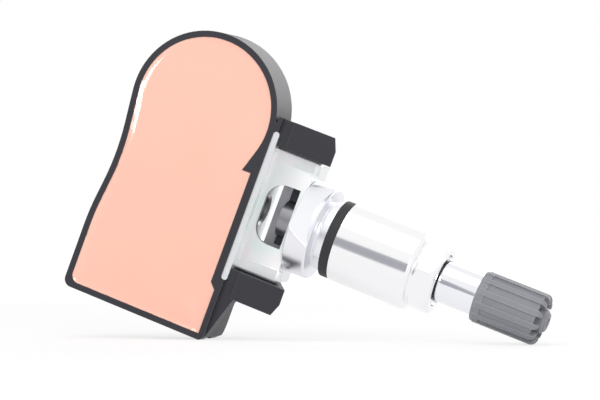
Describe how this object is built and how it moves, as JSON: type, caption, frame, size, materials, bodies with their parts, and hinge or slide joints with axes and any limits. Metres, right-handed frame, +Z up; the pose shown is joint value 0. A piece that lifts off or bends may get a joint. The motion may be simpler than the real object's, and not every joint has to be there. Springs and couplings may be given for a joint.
{
  "type": "tyre pressure sensor",
  "caption": "Clamp-in tyre pressure sensor: round-headed black cup filled with peach resin, plated bracket and a metal tyre valve with sleeve nut and ribbed cap.",
  "frame": {"origin": "on the ground under the middle of the bounding box, with the sensor standing on its housing corner and its valve cap", "axes": "+Z up, +X to the valve cap's side, +Y from the resin-filled face to the housing's back"},
  "size_m": [0.0932, 0.0182, 0.0585],
  "materials": {
    "black_plastic": "fine moulded grain",
    "potting_resin": "cast, glossy",
    "board_laminate": "solder mask",
    "cell_can": null,
    "tab_strip": "nickel strip",
    "sensor_can": "plated can",
    "silicone": "soft translucent grey",
    "chip_plastic": "moulded package",
    "ferrite": "fired ferrite with winding",
    "ceramic": "fired ceramic",
    "zinc_plated_steel": "bright zinc, faint clear passivation",
    "screw_steel": "plated",
    "bright_aluminium": "turned, clear anodised",
    "seal_rubber": "moulded",
    "nut_aluminium": "turned, satin",
    "core_brass": "turned",
    "core_seal_plastic": "moulded",
    "spring_steel": "drawn wire",
    "grey_plastic": "moulded, ribbed"
  },
  "bodies": {
    "sensor": {"housing": "black_plastic", "potting_compound": "potting_resin", "circuit_board": "board_laminate", "battery": "cell_can", "battery_tab_positive": "tab_strip", "battery_tab_negative": "tab_strip", "pressure_sensor": "sensor_can", "pressure_duct": "silicone", "radio_chip": "chip_plastic", "crystal": "sensor_can", "wake_coil": "ferrite", "capacitors": "ceramic", "antenna": "tab_strip", "bracket": "zinc_plated_steel", "valve_screw": "screw_steel", "screw_retainer": "black_plastic", "valve_stem": "bright_aluminium", "rubber_seal": "seal_rubber", "core_body": "core_brass", "core_seal": "core_seal_plastic", "core_spring": "spring_steel"},
    "nut": {"sleeve_nut": "nut_aluminium"},
    "cap_disc": {"cap_gasket": "seal_rubber"},
    "cap": {"valve_cap": "grey_plastic"},
    "core_plunger": {"core_pin": "core_brass", "core_plunger_seal": "seal_rubber"}
  },
  "joints": [
    {"name": "nut_travel", "type": "slide", "parent": "sensor", "child": "nut", "axis": [0.9365, 0, -0.3506], "range_m": [0, 0.007]},
    {"name": "cap_lift", "type": "slide", "parent": "sensor", "child": "cap_disc", "axis": [0.9365, 0, -0.3506], "range_m": [0, 0.00635]},
    {"name": "cap_turn", "type": "hinge", "parent": "cap_disc", "child": "cap", "pos_m": [0.03584, 0, 0.00783], "axis": [0.9365, 0, -0.3506], "range_deg": [0, 2900]},
    {"name": "pin_press", "type": "slide", "parent": "sensor", "child": "core_plunger", "axis": [-0.9365, 0, 0.3506], "range_m": [0, 0.0012], "stiffness_N_per_m": 1500, "springref_m": -0.002, "deforming": ["core_spring"]}
  ],
  "couplings": [
    {"joint": "cap_turn", "follows": "cap_lift", "rad_per_m": 7915.8}
  ]
}
